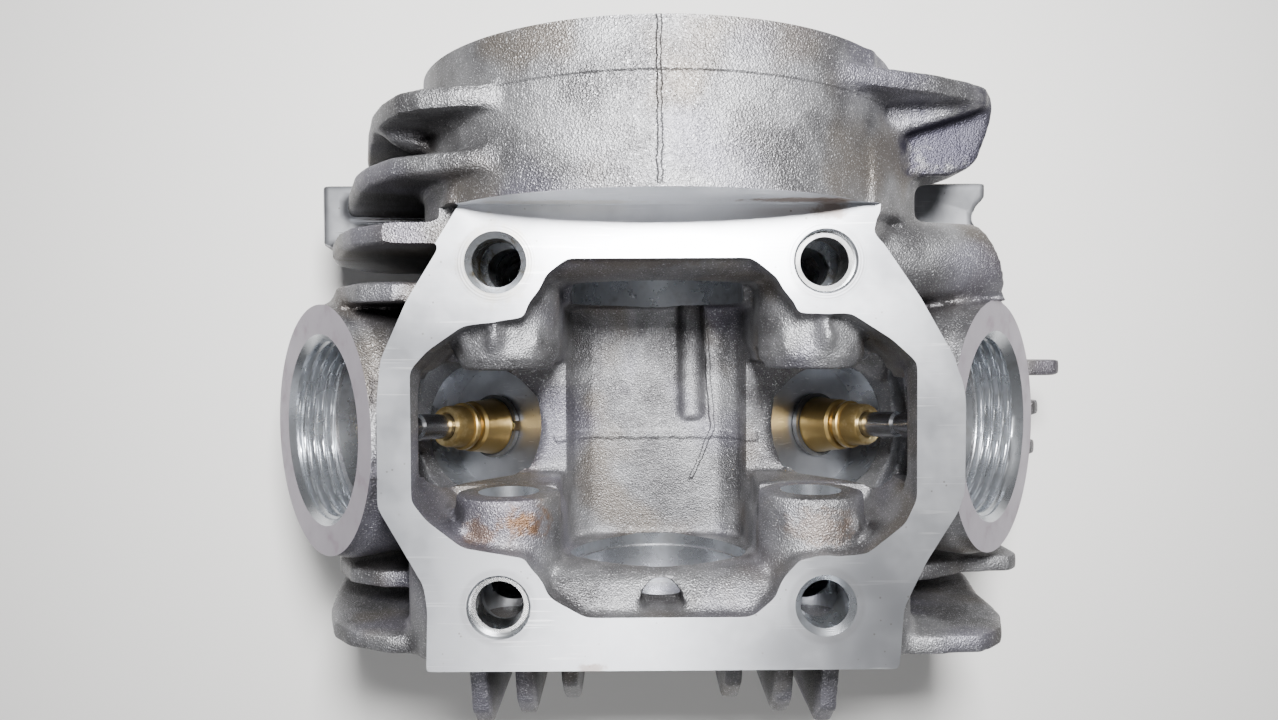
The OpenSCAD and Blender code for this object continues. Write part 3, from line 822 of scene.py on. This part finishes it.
    def blank(self) -> bpy.types.Object:
        """The casting before machining, at full size with stock left on machined faces.

        The points on each machined plane move out along its normal by the stock allowance, and
        a plug fills each bore.
        """
        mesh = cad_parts["head_casting"].data.copy()
        bm = bmesh.new()
        bm.from_mesh(mesh)
        bmesh.ops.remove_doubles(bm, verts=bm.verts, dist=1e-6)
        bm.to_mesh(mesh)
        bm.free()
        co = np.empty(len(mesh.vertices) * 3, np.float32)
        mesh.vertices.foreach_get("co", co)
        p = co.reshape(-1, 3).astype(float) / MM
        q = p.copy()
        add, near = self.raise_mm, 0.02
        q[np.abs(p[:, 2] - self.head_h) < near, 2] += add
        wall = (np.abs(p[:, 1] - self.mill_y) < near) & (p[:, 2] > self.head_h - near) & (
            np.abs(p[:, 0]) < 36)
        q[wall, 1] -= add
        q[np.abs(p[:, 2]) < near, 2] -= add
        q[np.abs(p[:, 1] - self.rim_y) < near, 1] += add
        for side in (-1, 1):
            flange = (np.abs(p[:, 0] - side * self.flange_x) < near) & (p[:, 2] < 31.1) & (
                np.abs(p[:, 1]) < 34.6)
            q[flange, 0] += side * add
            rim, out = self.port_line(side)
            t = (p - rim) @ out
            away = np.linalg.norm(p - rim - t[:, None] * out, axis=1)
            q[(np.abs(t) < near) & (away < 26.2)] += out * add
        mesh.vertices.foreach_set("co", (q * MM).astype(np.float32).ravel())
        body = bpy.data.objects.new("blank_body", mesh)
        bpy.context.scene.collection.objects.link(body)
        parts = [body]
        for bore in self.bores:
            if bore.plug:
                parts.append(turned_solid(bore.name, np.array(bore.origin, float),
                                          unit(bore.axis), list(bore.plug), 64))
        parts.append(self.lower_half_plug("sprocket_side", 19.2, 25.4, 30))
        parts.append(self.lower_half_plug("plain_side", 20.2, -34, -29.6))
        parts += self.cast_details()
        return joined("blank", parts)

    def cast_details(self) -> list:
        """Cast lumps: the gate stub on a fin, and the ribs on the rocker shaft bosses."""
        return [
            lump("gate_stub", (-47.6, 55.6, 76.4), (4.3, 2.2, 3.0), -20, 0.12, 2),
            lump("gate_stub_tail", (-50.4, 56.2, 78.4), (2.2, 1.4, 1.4), -30, 0.1, 4),
        ] + self.boss_ribs()

    def boss_ribs(self) -> list:
        """Rounded ribs and swellings on the rocker shaft bosses, on both sides of the bay."""
        places = ((36.6, 18.2, 75.5), (23.8, 17.0, 76.5), (30.6, 18.6, 80.4),
                  (36.8, -17.4, 76.0), (24.4, -17.2, 76.5))
        return [lump("boss_rib", (side * x, y, z), (1.8, 4.4, 4.6), side * 12, 0.08, 3)
                for side in (-1, 1) for x, y, z in places]

    def skin(self) -> bpy.types.Object:
        """The blank with its edges and corners rounded like a sand casting."""
        body = self.blank()
        remesh = body.modifiers.new("skin", "REMESH")
        remesh.mode = "VOXEL"
        remesh.voxel_size = self.voxel_mm * MM
        applied(body)
        smooth = body.modifiers.new("round", "SMOOTH")
        smooth.factor = 0.5
        smooth.iterations = self.smooth_rounds
        applied(body)
        thin = body.modifiers.new("thin", "DECIMATE")
        thin.ratio = self.keep_ratio
        return applied(body)

    def thread_tool(self, side: int) -> bpy.types.Object:
        """The threaded bore of an adjuster port with its entry cone.

        The radius is the core radius plus the thread depth times a trapezium wave of
        (distance / pitch - angle / turn), and it widens to the entry cone near the rim.
        """
        rim, out = self.port_line(side)
        e, f = cross_frame(out)
        pitch, core, deep, segments = 2.0, 18.2, 1.1, 96
        t = np.concatenate([[-10.0], np.arange(-9.9, -1.7, 0.18), [-1.2, 0.1, 4.0]])
        a = np.arange(segments) * 2 * np.pi / segments
        phase = np.mod(t[:, None] / pitch - a[None] / (2 * np.pi), 1.0)
        wave = np.clip((0.5 - np.abs(phase - 0.5)) * 3.4 - 0.3, 0, 1)
        fade = np.clip((t + 9.9) / 0.8, 0, 1)[:, None] * np.clip((-1.5 - t) / 0.4, 0, 1)[:, None]
        cone = np.clip((t + 1.8) / 1.9, 0, 1)[:, None] * 1.75
        r = core + deep * wave * fade + cone
        ring = np.cos(a)[:, None] * e + np.sin(a)[:, None] * f
        points = rim + t[:, None, None] * out + r[:, :, None] * ring[None]
        faces = grid_faces(len(t), segments)
        last = (len(t) - 1) * segments
        faces += [list(range(segments))[::-1], list(range(last, last + segments))]
        return mesh_object("port_thread", points.reshape(-1, 3), faces)

    def machine(self, body: bpy.types.Object) -> None:
        """Cuts every machined face and hole into the cast skin."""
        h = self.head_h
        cut(body, block("cover_mill", (-60, -70, h), (60, self.mill_y, h + 40)))
        cut(body, block("barrel_mill", (-120, -90, -20), (120, 90, 0)))
        cut(body, block("rim_mill", (-70, self.rim_y, 0), (70, self.rim_y + 9, 120)))
        cut(body, self.bay_undercut())
        fin = np.array([(-62, 34.9, 82.3), (-40.9, 34.9, 82.3), (-36.5, 42, 82.3), (-62, 42, 82.3)])
        cut(body, swept_solid("fin_top", fin, np.array([0, 0, 12.0])))
        for side in (-1, 1):
            x = sorted((side * self.flange_x, side * (self.flange_x + 20)))
            cut(body, block("flange_mill", (x[0], -34.5, -3), (x[1], 34.5, 31)))
            rim, out = self.port_line(side)
            cut(body, turned_solid("rim_face", rim, out, [(0, 26.3), (3.2, 26.3)], 96))
            cut(body, self.thread_tool(side))
        for bore in self.bores:
            if bore.tool:
                cut(body, turned_solid(bore.name, np.array(bore.origin, float),
                                       unit(bore.axis), list(bore.tool), 96))

    def mark_surfaces(self, body: bpy.types.Object) -> None:
        """Gives each face its material slot, by which machined plane or bore it lies on."""
        mesh = body.data
        count = len(mesh.polygons)
        centre, normal = np.empty(count * 3), np.empty(count * 3)
        mesh.polygons.foreach_get("center", centre)
        mesh.polygons.foreach_get("normal", normal)
        c, n = centre.reshape(-1, 3) / MM, normal.reshape(-1, 3)
        kind = np.full(count, Surface.CAST.value, np.int32)
        near = 0.012
        kind[(np.abs(c[:, 2] - self.head_h) < near) & (n[:, 2] > 0.99)] = Surface.MILLED.value
        kind[(np.abs(c[:, 1] - self.mill_y) < near) & (n[:, 1] < -0.99) & (
            c[:, 2] > self.head_h)] = Surface.MILLED.value
        kind[(np.abs(c[:, 2]) < near) & (n[:, 2] < -0.99)] = Surface.MILLED.value
        kind[(np.abs(c[:, 1] - self.rim_y) < near) & (n[:, 1] > 0.99)] = Surface.MILLED.value
        kind[(np.abs(np.abs(c[:, 0]) - self.flange_x) < near) & (np.abs(n[:, 0]) > 0.99) & (
            c[:, 2] < 31)] = Surface.MILLED.value
        lug = (np.abs(c[:, 2] - 39.9) < 0.9) & (n[:, 2] > 0.6) & (np.abs(c[:, 0]) > 60) & (
            np.abs(c[:, 1] - 46.5) < 8)
        kind[lug] = Surface.MILLED.value
        for bore in self.bores:
            if not bore.tool or bore.surface is Surface.CAST:
                continue
            origin, axis = np.array(bore.origin, float), unit(bore.axis)
            t = (c - origin) @ axis
            radius = np.linalg.norm(c - origin - t[:, None] * axis, axis=1)
            steps = np.array(bore.tool)
            edge = np.interp(t, steps[:, 0], steps[:, 1])
            inside = (t > steps[0, 0] - near) & (t < steps[-1, 0] + near)
            kind[inside & (np.abs(radius - edge) < 0.035)] = Surface.BORED.value
            if bore.surface is Surface.MILLED:
                floor = (np.abs(t - steps[0, 0]) < near) & (radius < steps[0, 1] + near)
                kind[floor] = Surface.MILLED.value
        for side in (-1, 1):
            rim, out = self.port_line(side)
            t = (c - rim) @ out
            radius = np.linalg.norm(c - rim - t[:, None] * out, axis=1)
            kind[(np.abs(t) < near) & (radius < 26.4)] = Surface.RIM.value
            kind[(t > -10.2) & (t < 0.05) & (radius > 17.8) & (radius < 20.3)] = Surface.BORED.value
        self.kinds = kind
        counts = np.bincount(kind, minlength=len(Surface))
        log.info("surfaces: %s", dict(zip([s.name for s in Surface], counts)))

    def mark_hollows(self, body: bpy.types.Object) -> None:
        """Stores how far each point lies shut in by the casting, as a point attribute which the cast
        finish uses as a mask of painted shade.

        The share of a ring of short rays that hit the casting again stands for the depth.
        """
        mesh = body.data
        tree = BVHTree.FromPolygons([v.co for v in mesh.vertices],
                                    [p.vertices for p in mesh.polygons])
        co = np.empty(len(mesh.vertices) * 3, np.float32)
        no = np.empty(len(mesh.vertices) * 3, np.float32)
        mesh.vertices.foreach_get("co", co)
        mesh.vertex_normals.foreach_get("vector", no)
        co, no = co.reshape(-1, 3), no.reshape(-1, 3)
        shade = np.zeros(len(co), np.float32)
        rays = [(0.0, 0.0), (0.9, 0.0), (0.9, 2.1), (0.9, 4.2)]
        reach, lift = 16 * MM, 0.4 * MM
        e = np.cross(no, [0.21, 0.97, 0.11])
        e /= np.linalg.norm(e, axis=1)[:, None] + 1e-9
        f = np.cross(no, e)
        for lean, turn in rays:
            d = no * math.cos(lean) + math.sin(lean) * (e * math.cos(turn) + f * math.sin(turn))
            start = co + no * lift
            for i in range(len(co)):
                hit = tree.ray_cast(start[i].tolist(), d[i].tolist(), reach)[3]
                if hit is not None:
                    shade[i] += (1 - hit / reach) / len(rays)
        attribute = mesh.attributes.new("hollow", "FLOAT", "POINT")
        attribute.data.foreach_set("value", shade)

    def build(self) -> bpy.types.Object:
        """Makes the finished casting, which stands for the CAD casting."""
        self.bores = self.list_bores()
        body = self.skin()
        self.machine(body)
        mesh = body.data
        bm = bmesh.new()
        bm.from_mesh(mesh)
        bmesh.ops.dissolve_degenerate(bm, dist=1e-6, edges=bm.edges)
        bmesh.ops.triangulate(bm, faces=bm.faces)
        bm.to_mesh(mesh)
        bm.free()
        body.name = mesh.name = "cast_head_shell"
        self.mark_surfaces(body)
        self.mark_hollows(body)
        mesh.shade_smooth()
        mesh.set_sharp_from_angle(angle=math.radians(32))
        log.info("%s: %d triangles", body.name, len(mesh.polygons))
        return body

    def dress(self, body: bpy.types.Object, fx: Effects) -> None:
        """Gives the casting its finishes, in the order of Surface."""
        brown, yellow = (0.17, 0.085, 0.03), (0.42, 0.36, 0.2)
        cast = CastFinish(stains_and_painted_shade=(
            ((-27, -17, 78), (6, 4, 5), brown, 0.8),
            ((-34, -19, 80), (4, 3, 5), brown, 0.45),
            ((30, -18, 80), (7, 4, 5), brown, 0.3),
            # Painted shade: a dark violet patch over the ear plate beside the drum.
            ((59, 59, 74), (17, 13, 6), (0.045, 0.042, 0.065), 0.85),
            # Painted shade: a near-black patch deep in the chain tunnel under the drum.
            ((-2, 33, 30), (10, 10, 10), (0.05, 0.05, 0.06), 0.4),
            ((-3, 27, 84), (20, 6, 5), (0.16, 0.15, 0.14), 0.35),
            ((-4, 33, 84), (16, 3, 2), (0.12, 0.1, 0.08), 0.5),
        ))
        rings = tuple((sx * self.stud_x, sy * self.stud_y, self.head_h)
                      for sx in (-1, 1) for sy in (-1, 1))
        milled = MilledFinish(rings=rings, stains_and_painted_shade=(
            ((25, 41.6, 90.5), (12, 2, 2.6), brown, 0.8),
            ((31, 41, 87), (4, 2, 3), brown, 0.5),
            ((-18, 41.6, 89), (16, 2, 2.5), yellow, 0.3),
            ((-13, -43, 86), (3, 1.2, 2), brown, 0.5),
            ((-30, 31.5, 86), (7.5, 7.5, 3), yellow, 0.3),
        ))
        bored = BoredFinish("bored_aluminium", (0.52, 0.54, 0.57), (0, 0, self.cam_z), (0, 1, 0),
                            stains_and_painted_shade=(((-30, 31.5, 76), (6, 6, 14), (0.16, 0.12, 0.05), 0.95),
                                    ((30, 31.5, 74), (6, 6, 12), (0.22, 0.18, 0.13), 0.7),
                                    # Painted shade: a dark bluish patch on the far bearing bore and
                                    # the drum wall behind it.
                                    ((0, 43, 40), (24, 9, 16), (0.12, 0.12, 0.2), 0.8)))
        rim = BoredFinish("turned_rim_face", (0.36, 0.33, 0.38), self.port_place,
                          tuple(self.port_line(1)[1]), 0.85, 0.36, 0.4, 0.02,
                          dark=(0.24, 0.15, 0.2))
        body.data.materials.clear()
        for finish in (cast, milled, bored, rim):
            body.data.materials.append(finish.make(fx))
        body.data.polygons.foreach_set("material_index", self.kinds)


# ---------------------------------------------------------------------------
# Valve gear parts that keep their CAD shape
# ---------------------------------------------------------------------------


@dataclass
class ValveGear:
    """Finishes of the valves, guides, clips, rings, seats and sleeves."""

    head: CastHead

    def guide(self, side: int, word: str) -> bpy.types.Object:
        """A bronze guide, turned with a flared foot, a groove, a collar and a thin neck."""
        start, axis = self.head.valve_line(side)
        p = self.head.pocket_dist
        bore = 2.84
        profile = [(p - 22, 4.4), (p - 20, 5.5), (p + 0.2, 5.5), (p + 0.25, 5.1), (p + 1.4, 5.1),
                   (p + 1.45, 6.4), (p + 1.7, 6.55), (p + 2.6, 6.5), (p + 4.2, 6.1),
                   (p + 8.6, 5.75), (p + 9.2, 5.3), (p + 9.3, 4.5), (p + 10.3, 4.5),
                   (p + 10.4, 5.2), (p + 10.7, 5.35), (p + 11.6, 5.35), (p + 11.9, 5.1),
                   (p + 12.0, 4.75), (p + 15.8, 4.6), (p + 16.4, 4.3), (p + 16.5, 3.3),
                   (p + 16.1, bore), (p - 22, bore)]
        piece = turned_ring(word + "_guide_turned", start, axis, profile)
        piece.data.shade_smooth()
        piece.data.set_sharp_from_angle(angle=math.radians(28))
        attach(piece, "head")
        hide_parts(word + "_valve_guide")
        return piece

    def dress(self, fx: Effects) -> None:
        """Puts a finish on each CAD node that shows."""
        green = (0.12, 0.16, 0.05)
        for side, word in ((-1, "intake"), (1, "exhaust")):
            start, axis = self.head.valve_line(side)
            base = start + axis * self.head.pocket_dist
            tip = start + axis * (self.head.pocket_dist + 17)
            bronze = BoredFinish(word + "_guide_bronze", (0.36, 0.25, 0.095), tuple(start),
                                 tuple(axis), 0.95, 0.3, 0.6, 0.03, (0.2, 0.14, 0.06),
                                 stains_and_painted_shade=((tuple(base + axis), (8, 8, 3.2), green, 0.75),
                                         (tuple(tip), (5, 5, 2.5), (0.75, 0.6, 0.32), 0.5)))
            steel = BoredFinish(word + "_valve_steel", (0.33, 0.33, 0.34), tuple(start),
                                tuple(axis), 1.0, 0.2, 0.25, 0.01, (0.1, 0.09, 0.085))
            clip = BoredFinish(word + "_clip_steel", (0.12, 0.12, 0.12), tuple(start),
                               tuple(axis), 0.8, 0.42, 0.3, 0.01)
            iron = BoredFinish(word + "_seat_iron", (0.32, 0.3, 0.28), tuple(start),
                               tuple(axis), 0.85, 0.36, 0.3, 0.02)
            self.guide(side, word).data.materials.append(bronze.make(fx))
            self.cover(word + "_valve", steel.make(fx))
            self.cover(word + "_guide_clip", clip.make(fx))
            self.cover(word + "_seat_ring", iron.make(fx))
            self.cover(word + "_guide_o_ring", self.rubber(word, fx))
        sleeve = BoredFinish("sleeve_steel", (0.5, 0.5, 0.5), (0, 0, 0), (0, 0, 1), 1.0, 0.24)
        self.cover("cover_sleeves", sleeve.make(fx))

    def rubber(self, word: str, fx: Effects) -> bpy.types.Material:
        """Matt black rubber with a fine grain."""
        material, sh, out = new_material(word + "_ring_rubber", 0.0, 0.6)
        grain = group_node(sh, fx.grain, Place=sh.place_mm(), Fine_scale=4.0, Coarse_scale=1.0)
        sh.feed(out.inputs["Base Color"],
                sh.mix(grain.outputs["Blotch"], (0.02, 0.02, 0.02), (0.045, 0.045, 0.045)))
        sh.feed(out.inputs["Normal"], sh.bump(grain.outputs["Height"], 0.3, 0.03))
        return material

    def cover(self, node: str, material: bpy.types.Material) -> None:
        """Puts one material on a CAD node."""
        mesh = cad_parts[node].data
        mesh.materials.clear()
        mesh.materials.append(material)
        log.info("dressed %s", node)


# ---------------------------------------------------------------------------
# Studio
# ---------------------------------------------------------------------------


@dataclass
class Studio:
    """Pale floor, soft light and the camera above the cover joint."""

    focal_mm: float = 850 * 36 / 1278
    eye_mm: Triple = (-4.6228, 17.4589, 240.363)
    turn_deg: Triple = (1.4, 0.21, 0.29)

    def camera(self) -> None:
        """Makes the camera, which looks down the cylinder axis with a slight tilt."""
        data = bpy.data.cameras.new("eye")
        data.sensor_width, data.lens, data.clip_start = 36.0, self.focal_mm, 0.005
        eye = bpy.data.objects.new("eye", data)
        bpy.context.scene.collection.objects.link(eye)
        rx, ry, rz = (math.radians(a) for a in self.turn_deg)
        turn = Matrix.Rotation(-rx, 4, "X") @ Matrix.Rotation(-ry, 4, "Y")
        turn = turn @ Matrix.Rotation(-rz, 4, "Z")
        eye.matrix_world = Matrix.Translation([v * MM for v in self.eye_mm]) @ turn
        bpy.context.scene.camera = eye

    def floor(self) -> None:
        """Makes the plain pale floor, just under the barrel joint."""
        floor = mesh_object("studio_floor", np.array(
            [(-900, -900, -0.4), (900, -900, -0.4), (900, 900, -0.4), (-900, 900, -0.4)]),
            [[0, 1, 2, 3]])
        material, _, out = new_material("pale_floor", 0.0, 0.85)
        out.inputs["Base Color"].default_value = (0.78, 0.77, 0.75, 1)
        floor.data.materials.append(material)

    def lamp(self, name: str, place: tuple, target: tuple, size: float, watts: float,
             tint: tuple = (1, 1, 1)) -> None:
        """Adds a square soft light in metres, turned towards a target."""
        data = bpy.data.lights.new(name, "AREA")
        data.shape, data.size, data.energy, data.color = "SQUARE", size, watts, tint
        obj = bpy.data.objects.new(name, data)
        bpy.context.scene.collection.objects.link(obj)
        z = unit(tuple(np.subtract(place, target)))
        x = unit(tuple(np.cross((0, 1, 0.01), z)))
        y = np.cross(z, x)
        obj.matrix_world = Matrix([(x[i], y[i], z[i], place[i]) for i in range(3)] + [(0, 0, 0, 1)])

    def light(self) -> None:
        """Makes the key light above the drum side, a weak fill and a grey sky."""
        self.lamp("key", (0.012, 0.105, 0.30), (0, 0.02, 0.06), 0.06, 3.3)
        self.lamp("lower_gleam", (-0.012, -0.115, 0.34), (0, -0.03, 0.08), 0.07, 0.26)
        self.lamp("fill", (-0.3, -0.3, 0.5), (0, 0, 0.05), 0.4, 0.35, (0.93, 0.95, 1.0))
        world = bpy.data.worlds.new("studio_sky")
        bpy.context.scene.world = world
        world.use_nodes = True
        sky = world.node_tree.nodes["Background"]
        sky.inputs[0].default_value = (0.92, 0.94, 1.0, 1)
        sky.inputs[1].default_value = 0.05

    def build(self) -> None:
        """Makes everything that is not part of the object."""
        self.camera()
        self.floor()
        self.light()


def main() -> None:
    """Builds the head's looks in order and notes the sizes."""
    logging.basicConfig(level=logging.INFO, format="%(name)s: %(message)s")
    fx = Effects()
    Studio().build()
    head = CastHead()
    shell = head.build()
    head.dress(shell, fx)
    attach(shell, "head")
    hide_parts("head_casting")
    ValveGear(head).dress(fx)


if __name__ == "__main__":
    main()
